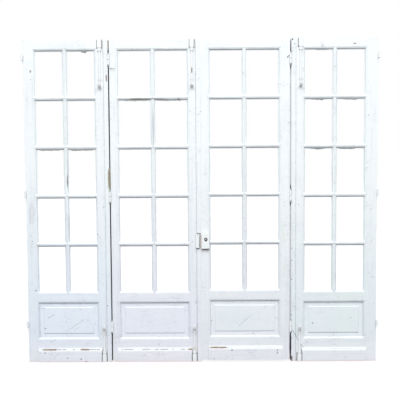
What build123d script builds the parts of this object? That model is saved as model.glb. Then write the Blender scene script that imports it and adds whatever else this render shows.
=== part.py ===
"""French doors: four glazed leaves with a raised panel, folding in two pairs.

Millimetres. X runs along the doors from left to right, Y from front to back and Z up. X is 0 at
the joint where the two inner leaves meet, and Z is 0 at the foot of the leaves. Depths are
measured back from the front faces, so whatever stands proud of them has a negative depth.
"""
from build123d import *
from math import tan, radians
import os

# Leaves; stile widths are the left one and the right one, seen from the front
leaf_height = 2250
leaf_thickness = 42
outer_opening = 406
inner_opening = 470
left_outer_stiles = (81, 99)
left_inner_stiles = (63, 95)
right_inner_stiles = (67, 81)
right_outer_stiles = (98, 92)
short_leaf_trim = 12
fold_gap = 8
meeting_gap = 0.8
meeting_bevel = 3

# Rails and bars, between sight edges
top_rail_height = 78
sill_height = 504
lock_rail_height = 92
bottom_rail_height = 174
bar_width = 37
bottom_row_extra = 10
pane_rows = 5
pane_columns = 2

# Moulding on every sight edge: a quirk, an ovolo and a flat
quirk_depth = 2.5
quirk_width = 2
ovolo_radius = 11.5
moulding_flat = 4
arris_radius = 1.5

# Glass rebate and panel groove
glass_depth = 20
glass_thickness = 3
rebate_width = 8
glass_clearance = 1.5
groove_front = 15.8
groove_width = 8.4
groove_depth = 10

# Joinery
tenon_thickness = 14
tenon_middle = 26
tenon_length = 40
tenon_shoulder = 18
bar_tenon_thickness = 8
bar_tenon_middle = 30
bar_tenon_width = 12
bar_tenon_length = 14
tenon_clearance = 0.2

# Panel
panel_clearance = 0.5
panel_side_clearance = 0.2
field_margin = 24
field_rise = 5
field_bevel_width = 5
field_bevel_depth = 4
panel_back_rise = 8

# Plinth boards; each laps over its stiles, but stops short of a bolt
plinth_height = 99
plinth_thickness = 11
plinth_top_edge = 3
plinth_chamfer_height = 22
plinth_bolt_clearance = 2
left_outer_plinth_lap = 12
left_inner_plinth_lap = 28
right_inner_plinth_laps = (20, 30)
right_outer_plinth_lap = 22

# Cover strips and stop strips
strip_width = 32
strip_thickness = 8
strip_round = 4
stop_width = 42
stop_lap = 12
stop_thickness = 8
stop_clearance = 0.4

# Hinges
knuckle_radius = 7.5
knuckle_length = 35
knuckle_chamfer = 1.5
knuckle_gap = 0.6
face_to_knuckle = 1
knuckle_clearance = 0.8
pin_radius = 4.5
pin_running_clearance = 0.05
pin_press_clearance = 0.02
pin_length = 30
socket_depth = 31
pin_chamfer = 1
tip_outline = ((3, 0), (3, 1), (4.6, 3), (4.6, 6.5), (2.8, 9.6), (0, 10.6))
plate_thickness = 2.5
plate_width = 27
bottom_hinge_rise = 250
top_hinge_drop = 138
middle_hinge_drop = 13

# Surface bolts; the insets of a top bolt and a bottom one are counted from the edge that they lock
left_bolt_insets = (57, 51)
right_bolt_insets = (65, 60)
rod_width = 16
rod_flat = 1
rod_clearance = 0.3
rod_setback = 2
rod_tail = 14
knob_height = 32
knob_seat = 1
knob_stem_radius = 5
knob_rivet_radius = 3
knob_rivet_clearance = 0.05
knob_head = ((5, 13), (11, 9), (13, 6), (11, 2.5), (5, 1), (3, 0))
top_knob_drop = 315
bottom_knob_rise = 241
guide_width = 30
guide_length = 56
guide_proud = 14
guide_round = 5
collar_width = 25
collar_length = 20
collar_proud = 12
neck_width = 21
neck_length = 2.5
neck_proud = 10.8
staple_offset = 42
staple_length = 12
staple_wall = 2
staple_foot = 7

# Rim lock
lock_width = 56
lock_height = 108
lock_proud = 24
lock_foot = 801
lock_wall = 2
lock_round = 3
back_plate_thickness = 2
back_plate_clearance = 0.2
hub_inset = 32
hub_drop = 42
hub_radius = 8
hub_hole_radius = 11
hub_square = 8
hub_recess = 3
journal_radius = 7
finger_length = 19
finger_width = 5
finger_clearance = 0.6
bolt_thickness = 12
bolt_height = 20
bolt_length = 46
bolt_drop = 10.5
bolt_throw = 24
bolt_notch_width = 13
bolt_notch_depth = 9.3
bolt_clearance = 0.5
spindle_hole_radius = 8
boss_radius = 8
boss_drop = 84
boss_proud = 1
spring_thickness = 1
spring_width = 8
spring_sag = 8
spring_foot = 4

# Keeper
keeper_plate_thickness = 1.5
keeper_plate_inset = 0.8
keeper_width = 21
keeper_offset = 15.6
keeper_height = 100
keeper_proud = 22
keeper_wall = 2.5
keeper_round = 3
keeper_strip_clearance = 2

moulding_width = quirk_width + ovolo_radius + moulding_flat
moulding_depth = quirk_depth + ovolo_radius
rear_reach = leaf_thickness + stop_clearance + stop_thickness
front = (knob_height - rear_reach) / 2
hinge_axis_depth = -(face_to_knuckle + knuckle_radius)
top_hinge = leaf_height - top_hinge_drop
middle_hinge = (bottom_hinge_rise + top_hinge) / 2 - middle_hinge_drop
hinge_heights = (bottom_hinge_rise, middle_hinge, top_hinge)
bevel_run = leaf_thickness * tan(radians(meeting_bevel))
rod_radius = rod_width / 2
rod_proud = rod_clearance + rod_flat + rod_radius


class Leaf:
    """Sizes of one leaf, from its left edge and the widths of its stiles and opening."""

    def __init__(self, name, left, stiles, opening, foot=0):
        self.name = name
        self.left = left
        self.left_stile, self.right_stile = stiles
        self.opening = opening
        self.foot = foot
        self.top = leaf_height
        self.sight_left = left + self.left_stile
        self.sight_right = self.sight_left + opening
        self.right = self.sight_right + self.right_stile
        self.middle = (self.sight_left + self.sight_right) / 2
        self.glass_top = self.top - top_rail_height
        self.sill = foot + sill_height
        self.panel_top = self.sill - lock_rail_height
        self.panel_bottom = foot + bottom_rail_height
        bars = (pane_rows - 1) * bar_width
        self.pane_height = (self.glass_top - self.sill - bottom_row_extra - bars) / pane_rows
        self.pane_width = (opening - (pane_columns - 1) * bar_width) / pane_columns

    def row(self, number):
        """Lower and upper sight edge of a row of panes, counted from the sill; the first is taller."""
        high = self.sill + bottom_row_extra + self.pane_height + number * (self.pane_height + bar_width)
        if number == 0:
            return self.sill, high
        return high - self.pane_height, high

    def column(self, number):
        """Left and right sight edge of a column of panes, counted from the left."""
        low = self.sight_left + number * (self.pane_width + bar_width)
        return low, low + self.pane_width


left_inner_width = sum(left_inner_stiles) + inner_opening
left_outer_width = sum(left_outer_stiles) + outer_opening
right_inner_width = sum(right_inner_stiles) + inner_opening
left_inner_edge = -meeting_gap / 2 - left_inner_width
left_outer_edge = left_inner_edge - fold_gap - left_outer_width
right_outer_edge = meeting_gap / 2 + right_inner_width + fold_gap

left_outer = Leaf("left_outer", left_outer_edge, left_outer_stiles, outer_opening)
left_inner = Leaf("left_inner", left_inner_edge, left_inner_stiles, inner_opening)
right_inner = Leaf("right_inner", meeting_gap / 2, right_inner_stiles, inner_opening, short_leaf_trim)
right_outer = Leaf("right_outer", right_outer_edge, right_outer_stiles, outer_opening)


def block(x0, x1, depth0, depth1, z0, z1):
    """Box between two corners, with its depth counted from the front faces."""
    centre = ((x0 + x1) / 2, front + (depth0 + depth1) / 2, (z0 + z1) / 2)
    return Pos(*centre) * Box(x1 - x0, depth1 - depth0, z1 - z0)


def side_block(x, side, near, far, depth0, depth1, z0, z1):
    """Box between two distances from x, counted to the left of it where side is -1."""
    x0, x1 = sorted((x + side * near, x + side * far))
    return block(x0, x1, depth0, depth1, z0, z1)


def tube_along_depth(x, z, radius, depth0, depth1):
    """Cylinder whose axis runs from front to back."""
    centre = (x, front + (depth0 + depth1) / 2, z)
    return Pos(*centre) * Rot(90, 0, 0) * Cylinder(radius, depth1 - depth0)


def upright(section, x, z0, z1):
    """Section drawn across and in depth, run upwards."""
    return extrude(Pos(x, front, z0) * section, amount=z1 - z0)


def level(section, x0, x1, z):
    """Section drawn upwards and in depth, run along X."""
    plane = Plane(origin=(x1, front, z), x_dir=(0, 0, 1), z_dir=(-1, 0, 0))
    return extrude(plane * section, amount=x1 - x0)


def slab(points, depth0, depth1):
    """Outline seen from the front, in X and Z, run through part of the thickness."""
    plane = Plane(origin=(0, front + depth1, 0), x_dir=(1, 0, 0), z_dir=(0, -1, 0))
    outline = make_face(Polyline(*points, close=True))
    return extrude(plane * outline, amount=depth1 - depth0)


def moulding_cut():
    """What the moulding takes off a sight edge, drawn from the edge inwards."""
    inner = moulding_width - quirk_width
    square = Polyline(
        (moulding_flat, moulding_depth),
        (0, moulding_depth),
        (0, 0),
        (moulding_width, 0),
        (moulding_width, quirk_depth),
        (inner, quirk_depth),
    )
    ovolo = CenterArc((inner, moulding_depth), ovolo_radius, 180, 90)
    return make_face(square.edges() + ovolo.edges())


def area(x0, x1, depth0, depth1):
    """Rectangle of a section."""
    return Pos((x0 + x1) / 2, (depth0 + depth1) / 2) * Rectangle(x1 - x0, depth1 - depth0)


def edge_cut(kind):
    """What is taken off the first edge of a member's section."""
    if kind == "glass":
        return moulding_cut() + area(0, rebate_width, glass_depth, leaf_thickness)
    if kind == "panel":
        return moulding_cut() + area(0, groove_depth, groove_front, groove_front + groove_width)
    if kind == "bevel":
        return make_face(Polyline((0, 0), (0, leaf_thickness), (bevel_run, leaf_thickness), close=True))
    corner = area(0, arris_radius, 0, arris_radius)
    return corner - Pos(arris_radius, arris_radius) * Circle(arris_radius)


def member_section(width, near, far):
    """Section of a stile, rail or bar, with what each of its two edges carries."""
    section = area(0, width, 0, leaf_thickness)
    section -= edge_cut(near)
    section -= Pos(width, 0) * mirror(edge_cut(far), about=Plane.YZ)
    return section


def left_end(x, low, high, mitre_low, mitre_high):
    """Front outline of a member's left end, mitred where an edge is moulded."""
    outside = x - moulding_width
    points = [(outside, low)]
    if mitre_low:
        points = [(x, low), (outside, low + moulding_width)]
    if mitre_high:
        return points + [(outside, high - moulding_width), (x, high)]
    return points + [(outside, high)]


def mitred_outline(x0, x1, low, high, mitre_low=True, mitre_high=True):
    """Front outline of a rail or bar between two sight edges of the stiles."""
    left = left_end(x0, low, high, mitre_low, mitre_high)
    right = [(x0 + x1 - x, z) for x, z in reversed(left)]
    return left + right


def upright_bar_outline(leaf, row):
    """Front outline of a short bar, pointed at both ends where it meets the level members."""
    low, high = leaf.row(row)
    half = bar_width / 2
    tip = half - moulding_width
    x = leaf.middle
    tip_z = low - moulding_width
    lower = [(x - half, low), (x - tip, tip_z), (x + tip, tip_z), (x + half, low)]
    upper = [(across, low + high - z) for across, z in reversed(lower)]
    return lower + upper


def upright_bar_tips(leaf):
    """Front parts of the short bars, which the level members are notched for."""
    outlines = [upright_bar_outline(leaf, row) for row in range(pane_rows)]
    return [slab(outline, 0, glass_depth) for outline in outlines]


def rail_sizes(leaf):
    """Each rail as its lowest and highest edge, and what both edges carry."""
    return {
        "top_rail": (leaf.glass_top, leaf.top, "glass", "square"),
        "lock_rail": (leaf.panel_top, leaf.sill, "panel", "glass"),
        "bottom_rail": (leaf.foot, leaf.panel_bottom, "square", "panel"),
    }


def rail_front(leaf, low, high, near, far):
    """Front part of a rail, with its mitred shoulders."""
    outline = mitred_outline(leaf.sight_left, leaf.sight_right, low, high, near != "square", far != "square")
    return slab(outline, -1, glass_depth)


def shoulder_height(leaf):
    """Height at which the stiles change from a glass rebate to a panel groove."""
    return leaf.sill - lock_rail_height / 2


def rear_width(leaf, low, high):
    """Back part of the space between the stiles, which is wider above the lock rail."""
    change = shoulder_height(leaf)
    parts = []
    if low < change:
        x0, x1 = leaf.sight_left, leaf.sight_right
        parts.append(block(x0, x1, glass_depth, leaf_thickness, low, min(high, change)))
    if high > change:
        x0, x1 = leaf.sight_left - rebate_width, leaf.sight_right + rebate_width
        parts.append(block(x0, x1, glass_depth, leaf_thickness, max(low, change), high))
    return parts


def rail_tenons(leaf, low, high, grow=0):
    """Tenons of a rail, or with grow their mortises."""
    z0 = low + tenon_shoulder - grow
    z1 = high - tenon_shoulder + grow
    depth0 = tenon_middle - tenon_thickness / 2 - grow
    depth1 = tenon_middle + tenon_thickness / 2 + grow
    reach = moulding_width + tenon_length + grow
    return [
        block(leaf.sight_left - reach, leaf.sight_left, depth0, depth1, z0, z1),
        block(leaf.sight_right, leaf.sight_right + reach, depth0, depth1, z0, z1),
    ]


def rail(leaf, low, high, near, far):
    """Top, lock or bottom rail: mitred shoulders in front, square ones behind, and a tenon each end."""
    section = member_section(high - low, near, far)
    bar = level(section, leaf.sight_left - moulding_width, leaf.sight_right + moulding_width, low)
    front_part = bar & rail_front(leaf, low, high, near, far)
    rear_parts = [bar & part for part in rear_width(leaf, low, high)]
    piece = front_part + rear_parts + rail_tenons(leaf, low, high)
    if near == "glass" or far == "glass":
        piece -= upright_bar_tips(leaf)
    return piece


def bar_heights(leaf):
    """Lower edges of the level glazing bars."""
    return [leaf.row(row)[1] for row in range(pane_rows - 1)]


def bar_tenons(leaf, low, grow=0):
    """Stub tenons of a level glazing bar, or with grow their mortises."""
    middle = low + bar_width / 2
    z0 = middle - bar_tenon_width / 2 - grow
    z1 = middle + bar_tenon_width / 2 + grow
    depth0 = bar_tenon_middle - bar_tenon_thickness / 2 - grow
    depth1 = bar_tenon_middle + bar_tenon_thickness / 2 + grow
    x0 = leaf.sight_left - rebate_width
    x1 = leaf.sight_right + rebate_width
    reach = bar_tenon_length + grow
    return [block(x0 - reach, x0, depth0, depth1, z0, z1), block(x1, x1 + reach, depth0, depth1, z0, z1)]


def level_bar(leaf, low):
    """Glazing bar that runs from stile to stile, notched for the short bars."""
    section = member_section(bar_width, "glass", "glass")
    x0 = leaf.sight_left - moulding_width
    x1 = leaf.sight_right + moulding_width
    bar = level(section, x0, x1, low)
    outline = mitred_outline(leaf.sight_left, leaf.sight_right, low, low + bar_width)
    rear = rear_width(leaf, low, low + bar_width)
    piece = (bar & slab(outline, -1, glass_depth)) + (bar & rear[0]) + bar_tenons(leaf, low)
    return piece - upright_bar_tips(leaf)


def upright_bar(leaf, row):
    """Short glazing bar between two level members, with pointed ends in front."""
    section = member_section(bar_width, "glass", "glass")
    low, high = leaf.row(row)
    x0 = leaf.middle - bar_width / 2
    bar = upright(section, x0, low - moulding_width, high + moulding_width)
    rear = block(x0, x0 + bar_width, glass_depth, leaf_thickness, low - rebate_width, high + rebate_width)
    return (bar & slab(upright_bar_outline(leaf, row), -1, glass_depth)) + (bar & rear)


def glazing_bars(leaf):
    """Four level bars and five short upright ones."""
    levels = [level_bar(leaf, low) for low in bar_heights(leaf)]
    uprights = [upright_bar(leaf, row) for row in range(pane_rows)]
    return levels + uprights


def stile_body(leaf, side, outer_edge):
    """Full stile before its shoulders and mortises are cut, grooved below and rebated above."""
    change = shoulder_height(leaf)
    parts = []
    for kind, z0, z1 in (("panel", leaf.foot, change), ("glass", change, leaf.top)):
        if side == "left":
            section = member_section(leaf.left_stile, outer_edge, kind)
            parts.append(upright(section, leaf.left, z0, z1))
        else:
            section = member_section(leaf.right_stile, kind, outer_edge)
            parts.append(upright(section, leaf.sight_right, z0, z1))
    return parts[0] + parts[1]


def stile(leaf, side, outer_edge="square"):
    """Stile with mitres for the rails and bars, and a mortise for each tenon."""
    cuts = []
    for low, high, near, far in rail_sizes(leaf).values():
        cuts.append(rail_front(leaf, low, high, near, far))
        cuts += rail_tenons(leaf, low, high, tenon_clearance)
    for low in bar_heights(leaf):
        outline = mitred_outline(leaf.sight_left, leaf.sight_right, low, low + bar_width)
        cuts.append(slab(outline, -1, glass_depth))
        cuts += bar_tenons(leaf, low, tenon_clearance)
    return stile_body(leaf, side, outer_edge) - cuts


def raised_panel(leaf):
    """Panel with a tongue all round, a field raised in front and a flat one behind."""
    reach = groove_depth - panel_clearance
    x0, x1 = leaf.sight_left, leaf.sight_right
    z0, z1 = leaf.panel_bottom, leaf.panel_top
    tongue_front = groove_front + panel_side_clearance
    tongue_back = groove_front + groove_width - panel_side_clearance
    plate = block(x0 - reach, x1 + reach, tongue_front, tongue_back, z0 - reach, z1 + reach)
    gap = panel_clearance
    rear = block(x0 + gap, x1 - gap, tongue_back, tongue_back + panel_back_rise, z0 + gap, z1 - gap)
    field_plane = Plane(
        origin=((x0 + x1) / 2, front + tongue_front, (z0 + z1) / 2), x_dir=(1, 0, 0), z_dir=(0, -1, 0)
    )
    field_outline = Rectangle(x1 - x0 - 2 * field_margin, z1 - z0 - 2 * field_margin)
    field = extrude(field_plane * field_outline, amount=field_rise)
    front_face = field.faces().sort_by(Axis.Y)[0]
    field = chamfer(front_face.edges(), field_bevel_width, field_bevel_depth, reference=front_face)
    return plate + rear + field


def glass_panes(leaf):
    """Ten panes, each lying against the back of its rebate."""
    reach = rebate_width - glass_clearance
    glass_back = glass_depth + glass_thickness
    panes = []
    for row in range(pane_rows):
        z0, z1 = leaf.row(row)
        for column in range(pane_columns):
            x0, x1 = leaf.column(column)
            panes.append(block(x0 - reach, x1 + reach, glass_depth, glass_back, z0 - reach, z1 + reach))
    return panes


def bolt_side_lap(stile_width, bolt_insets):
    """How far a plinth board may lap over the stile that carries a bottom bolt."""
    return stile_width - bolt_insets[1] - guide_width / 2 - plinth_bolt_clearance


def plinth_board(leaf, left_lap, right_lap):
    """Board with a chamfered top, nailed over the bottom rail."""
    outline = Polyline(
        (0, 0),
        (0, -plinth_thickness),
        (plinth_height - plinth_chamfer_height, -plinth_thickness),
        (plinth_height, -plinth_top_edge),
        (plinth_height, 0),
        close=True,
    )
    return level(make_face(outline), leaf.sight_left - left_lap, leaf.sight_right + right_lap, leaf.foot)


def strip_section():
    """Cover strip with both front corners rounded."""
    section = area(0, strip_width, -strip_thickness, 0)
    corners = section.vertices().group_by(Axis.Y)[0]
    return fillet(corners, strip_round)


def knuckle_notches(axis_x):
    """Room for the knuckles of a folding joint in the strip beside it."""
    tip_length = tip_outline[-1][1]
    half = knuckle_gap / 2 + knuckle_length + tip_length + knuckle_clearance
    reach = knuckle_radius + knuckle_clearance
    x0, x1 = axis_x - reach, axis_x + reach
    depth0 = hinge_axis_depth - reach
    return [block(x0, x1, depth0, 0, z - half, z + half) for z in hinge_heights]


def fold_strips(edge, side):
    """Front cover strip along the folding edge of an outer leaf, and the stop strip behind it.

    side is -1 where the leaf lies to the left of its edge and 1 where it lies to the right.
    """
    cover = upright(strip_section(), min(edge, edge + side * strip_width), 0, leaf_height)
    lap = fold_gap + stop_lap
    seat_depth = leaf_thickness + stop_clearance
    seat = side_block(edge, side, 0, stop_width - lap, leaf_thickness, seat_depth, 0, leaf_height)
    stop = side_block(edge, side, -lap, stop_width - lap, seat_depth, rear_reach, 0, leaf_height)
    return [cover - knuckle_notches(edge - side * fold_gap / 2), seat + stop]


def meeting_strip(leaf):
    """Cover strip along the meeting edge, in two lengths above and below the keeper."""
    x = leaf.right - strip_width
    below = lock_foot - keeper_strip_clearance
    above = lock_foot + lock_height + keeper_strip_clearance
    section = strip_section()
    return [upright(section, x, leaf.foot, below), upright(section, x, above, leaf.top)]


def knuckle_profile():
    """Half outline of a knuckle and its turned tip, from the joint between the halves outwards."""
    body = [
        (0, 0),
        (knuckle_radius - knuckle_chamfer, 0),
        (knuckle_radius, knuckle_chamfer),
        (knuckle_radius, knuckle_length - knuckle_chamfer),
        (knuckle_radius - knuckle_chamfer, knuckle_length),
    ]
    tip = [(radius, knuckle_length + rise) for radius, rise in tip_outline]
    return make_face(Polyline(*body, *tip, close=True))


def hinge_half(axis_x, z, side, upper):
    """Half of a lift-off hinge: knuckle with a turned tip, and a plate let on to the leaf's edge.

    side is -1 where the leaf lies to the left of the axis and 1 where it lies to the right.
    """
    profile = Pos(0, knuckle_gap / 2) * knuckle_profile()
    knuckle = revolve(Plane.XZ * profile, axis=Axis.Z)
    near, far = fold_gap / 2 - plate_thickness, fold_gap / 2
    plate_front = hinge_axis_depth + knuckle_radius + knuckle_clearance
    plate_back = plate_front + plate_width
    low = z + knuckle_gap / 2
    high = low + knuckle_length
    web_low, web_high = low + knuckle_chamfer, high - knuckle_chamfer
    web = side_block(axis_x, side, near, far, hinge_axis_depth, plate_front, web_low, web_high)
    if upper:
        bore_radius = pin_radius + pin_running_clearance
    else:
        bore_radius = pin_radius + pin_press_clearance
    bore = Cylinder(bore_radius, socket_depth)
    axis_point = Pos(axis_x, front + hinge_axis_depth, z)
    half = axis_point * knuckle + web - axis_point * Pos(0, 0, socket_depth / 2) * bore
    if not upper:
        half = Pos(0, 0, 2 * z) * mirror(half, about=Plane.XY)
    return half + side_block(axis_x, side, near, far, plate_front, plate_back, 2 * z - high, high)


def hinge_pin(axis_x, z):
    """Pin pressed into the lower half, standing up into the upper one."""
    length = 2 * pin_length
    pin = Cylinder(pin_radius, length)
    tip = pin.edges().group_by(Axis.Z)[-1]
    return Pos(axis_x, front + hinge_axis_depth, z) * chamfer(tip, pin_chamfer)


def hinge_sockets(axis_x, side):
    """Upper halves of the three hinges of one edge."""
    return [hinge_half(axis_x, z, side, True) for z in hinge_heights]


def hinge_lower_halves(axis_x, side):
    """Lower halves of the three hinges of one folding joint, with their pins."""
    halves = [hinge_half(axis_x, z, side, False) for z in hinge_heights]
    return halves + [hinge_pin(axis_x, z) for z in hinge_heights]


def rod_section(grow=0):
    """Half-round rod, flat side to the leaf, or with grow the channel that it slides in."""
    half = rod_radius + grow
    base = area(-half, half, -(rod_clearance + rod_flat), -(rod_clearance - grow))
    round_part = Pos(0, -(rod_clearance + rod_flat)) * Circle(half)
    return base + (round_part & area(-half, half, -rod_proud - grow, -(rod_clearance + rod_flat)))


def knob(x, z):
    """Turned knob with a riveted tail through the rod."""
    seat = rod_proud - knob_seat
    rivet, stem = knob_rivet_radius, knob_stem_radius
    tail = [(0, rod_clearance), (rivet, rod_clearance), (rivet, seat), (stem, seat)]
    head = [(radius, knob_height - drop) for radius, drop in knob_head]
    profile = make_face(Polyline(*tail, *head, (0, knob_height), close=True))
    return Pos(x, front, z) * Rot(90, 0, 0) * revolve(Plane.XZ * profile, axis=Axis.Z)


def surface_bolt(x, leaf_end, knob_z):
    """Rod of a surface bolt, drawn back, with its knob."""
    up = 1 if leaf_end > knob_z else -1
    ends = sorted((leaf_end - up * rod_setback, knob_z - up * rod_tail))
    rod = upright(rod_section(), x, ends[0], ends[1])
    hole_radius = knob_rivet_radius + knob_rivet_clearance
    seat_radius = knob_stem_radius + knob_rivet_clearance
    rod -= tube_along_depth(x, knob_z, hole_radius, -rod_proud, 0)
    rod -= tube_along_depth(x, knob_z, seat_radius, -rod_proud, -rod_proud + knob_seat)
    return [rod, knob(x, knob_z)]


def guide_section(width, proud):
    """Outer section of a guide with rounded front corners."""
    section = area(-width / 2, width / 2, -proud, 0)
    corners = section.vertices().group_by(Axis.Y)[0]
    return fillet(corners, guide_round)


def box_guide(x, leaf_end, up):
    """Guide at the leaf's end, with a neck and a slimmer collar on its inner end."""
    shoulder = leaf_end - up * guide_length
    neck_end = shoulder - up * neck_length
    collar_end = neck_end - up * collar_length
    body = upright(guide_section(guide_width, guide_proud), x, *sorted((leaf_end, shoulder)))
    neck = upright(guide_section(neck_width, neck_proud), x, *sorted((shoulder, neck_end)))
    collar = upright(guide_section(collar_width, collar_proud), x, *sorted((neck_end, collar_end)))
    channel = upright(rod_section(rod_clearance), x, *sorted((leaf_end, collar_end)))
    return body + neck + collar - channel


def staple(x, z):
    """Strap over the rod near its knob."""
    in_front = area(-guide_width, guide_width, -knob_height, 0)
    outer = rod_section(rod_clearance + staple_wall) & in_front
    feet = area(-rod_radius - staple_foot, rod_radius + staple_foot, -staple_wall, 0)
    strap = outer + feet - rod_section(rod_clearance)
    return upright(strap, x, z - staple_length / 2, z + staple_length / 2)


def bolt_guides(leaf, top_x, bottom_x):
    """Box guide and staple of the top bolt and of the bottom bolt."""
    top_knob = leaf.top - top_knob_drop
    bottom_knob = leaf.foot + bottom_knob_rise
    return [
        box_guide(top_x, leaf.top, 1),
        staple(top_x, top_knob + staple_offset),
        box_guide(bottom_x, leaf.foot, -1),
        staple(bottom_x, bottom_knob - staple_offset),
    ]


# Places inside the lock
lock_left = right_inner.left
lock_right = lock_left + lock_width
lock_top = lock_foot + lock_height
hub_x = lock_left + hub_inset
hub_z = lock_top - hub_drop
bolt_top = hub_z - bolt_drop
bolt_bottom = bolt_top - bolt_height
bolt_front = -(back_plate_thickness + bolt_clearance + bolt_thickness)


def lock_box():
    """Sheet-metal box of the case, open at the back, with rounded front edges."""
    outer = block(lock_left, lock_right, -lock_proud, 0, lock_foot, lock_top)
    front_face = outer.faces().sort_by(Axis.Y)[0]
    outer = fillet(front_face.edges(), lock_round)
    x0, x1 = lock_left + lock_wall, lock_right - lock_wall
    z0, z1 = lock_foot + lock_wall, lock_top - lock_wall
    return outer - block(x0, x1, -lock_proud + lock_wall, 0, z0, z1)


def lock_case():
    """Case of the rim lock, with the hub hole, the boss and the opening for the bolt."""
    case = lock_box()
    inside = -lock_proud + lock_wall
    boss = tube_along_depth(hub_x, lock_top - boss_drop, boss_radius, -lock_proud - boss_proud, inside)
    hole = tube_along_depth(hub_x, hub_z, hub_hole_radius, -lock_proud, inside)
    gap = bolt_clearance
    mouth = block(
        lock_left,
        lock_left + lock_wall,
        bolt_front - gap,
        bolt_front + bolt_thickness + gap,
        bolt_bottom - gap,
        bolt_top + gap,
    )
    return case + boss - hole - mouth


def lock_back_plate():
    """Plate that closes the case behind and carries the follower's journal."""
    edge = lock_wall + back_plate_clearance
    x0, x1 = lock_left + edge, lock_right - edge
    plate = block(x0, x1, -back_plate_thickness, 0, lock_foot + edge, lock_top - edge)
    hole_radius = journal_radius + pin_running_clearance
    return plate - tube_along_depth(hub_x, hub_z, hole_radius, -back_plate_thickness, 0)


def lock_follower():
    """Follower with a square hole, and a finger for the bolt that points down to the right at rest."""
    rear_depth = -(back_plate_thickness + finger_clearance)
    hub = tube_along_depth(hub_x, hub_z, hub_radius, -lock_proud + hub_recess, rear_depth)
    journal = tube_along_depth(hub_x, hub_z, journal_radius, rear_depth, 0)
    tip = finger_width / 2
    straight = finger_length - tip
    outline = area(-tip, tip, -straight, 0) + Pos(0, -straight) * Circle(tip)
    origin = (hub_x, front + bolt_front + bolt_thickness, hub_z)
    plane = Plane(origin=origin, x_dir=(1, 0, 0), z_dir=(0, -1, 0))
    finger = extrude(plane * (Rot(0, 0, 45) * outline), amount=bolt_thickness)
    half = hub_square / 2
    square = block(hub_x - half, hub_x + half, -lock_proud, 0, hub_z - half, hub_z + half)
    return hub + journal + finger - square


def lock_bolt():
    """Flat bolt, drawn back flush with the case, with a notch for the follower's finger."""
    rear = bolt_front + bolt_thickness
    bolt = block(lock_left, lock_left + bolt_length, bolt_front, rear, bolt_bottom, bolt_top)
    notch_x = hub_x + bolt_throw / 2
    notch = block(
        notch_x - bolt_notch_width / 2,
        notch_x + bolt_notch_width / 2,
        bolt_front,
        rear,
        bolt_top - bolt_notch_depth,
        bolt_top,
    )
    return bolt - notch


def lock_spring():
    """Flat bow spring under the bolt, standing on the floor of the case."""
    x0 = lock_left + lock_wall + spring_foot
    x1 = lock_right - lock_wall - spring_foot
    crown = bolt_bottom - bolt_clearance
    foot = crown - spring_sag
    lower_foot, lower_crown = foot - spring_thickness, crown - spring_thickness
    middle = (x0 + x1) / 2
    edges = [
        ThreePointArc((x0, foot), (middle, crown), (x1, foot)),
        Line((x1, foot), (x1, lower_foot)),
        ThreePointArc((x1, lower_foot), (middle, lower_crown), (x0, lower_foot)),
        Line((x0, lower_foot), (x0, foot)),
    ]
    depth1 = bolt_front + (bolt_thickness + spring_width) / 2
    plane = Plane(origin=(0, front + depth1, 0), x_dir=(1, 0, 0), z_dir=(0, -1, 0))
    bow = extrude(plane * make_face(edges), amount=spring_width)
    floor = lock_foot + lock_wall
    legs = [
        block(x, x + spring_thickness, depth1 - spring_width, depth1, floor, foot)
        for x in (x0, x1 - spring_thickness)
    ]
    return bow + legs


def lock_keeper():
    """Box keeper, open towards the lock, on a base plate that runs to the leaf's edge."""
    right_x = left_inner.right - keeper_offset
    left_x = right_x - keeper_width
    z0 = lock_foot + (lock_height - keeper_height) / 2
    z1 = z0 + keeper_height
    box = block(left_x, right_x, -keeper_proud, -keeper_plate_thickness, z0, z1)
    front_face = box.faces().sort_by(Axis.Y)[0]
    left_edge = front_face.edges().filter_by(Axis.Z).sort_by(Axis.X)[0:1]
    box = fillet(left_edge + front_face.edges().filter_by(Axis.X), keeper_round)
    wall = keeper_wall
    inside, back = -keeper_proud + wall, -keeper_plate_thickness
    hollow = block(left_x + wall, right_x, inside, back, z0 + wall, z1 - wall)
    plate = block(left_x, left_inner.right - keeper_plate_inset, back, 0, z0, z1)
    return box - hollow + plate


left_fold_axis = left_outer.right + fold_gap / 2
right_fold_axis = right_outer.left - fold_gap / 2
left_frame_axis = left_outer.left - fold_gap / 2
right_frame_axis = right_outer.right + fold_gap / 2

# Each leaf with its left and right stile: the node's name and what its outer edge carries
leaf_stiles = {
    left_outer: (("frame_stile", "square"), ("fold_stile", "square")),
    left_inner: (("fold_stile", "square"), ("meeting_stile", "bevel")),
    right_inner: (("meeting_stile", "bevel"), ("fold_stile", "square")),
    right_outer: (("fold_stile", "square"), ("frame_stile", "square")),
}

# Each bolted leaf with the X of its top bolt and of its bottom bolt
bolt_places = {
    left_outer: [left_outer.right - inset for inset in left_bolt_insets],
    left_inner: [left_inner.right - inset for inset in left_bolt_insets],
    right_outer: [right_outer.left + inset for inset in right_bolt_insets],
}


def leaf_nodes(leaf):
    """Wood and glass of one leaf."""
    (left_name, left_edge), (right_name, right_edge) = leaf_stiles[leaf]
    nodes = {
        left_name: stile(leaf, "left", left_edge),
        right_name: stile(leaf, "right", right_edge),
        "panel": raised_panel(leaf),
        "glazing_bars": glazing_bars(leaf),
        "glass": glass_panes(leaf),
    }
    if leaf is right_inner:
        nodes[left_name] -= tube_along_depth(hub_x, hub_z, spindle_hole_radius, 0, leaf_thickness)
    for rail_name, sizes in rail_sizes(leaf).items():
        nodes[rail_name] = rail(leaf, *sizes)
    return {f"{leaf.name}_{part}": shape for part, shape in nodes.items()}


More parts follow.
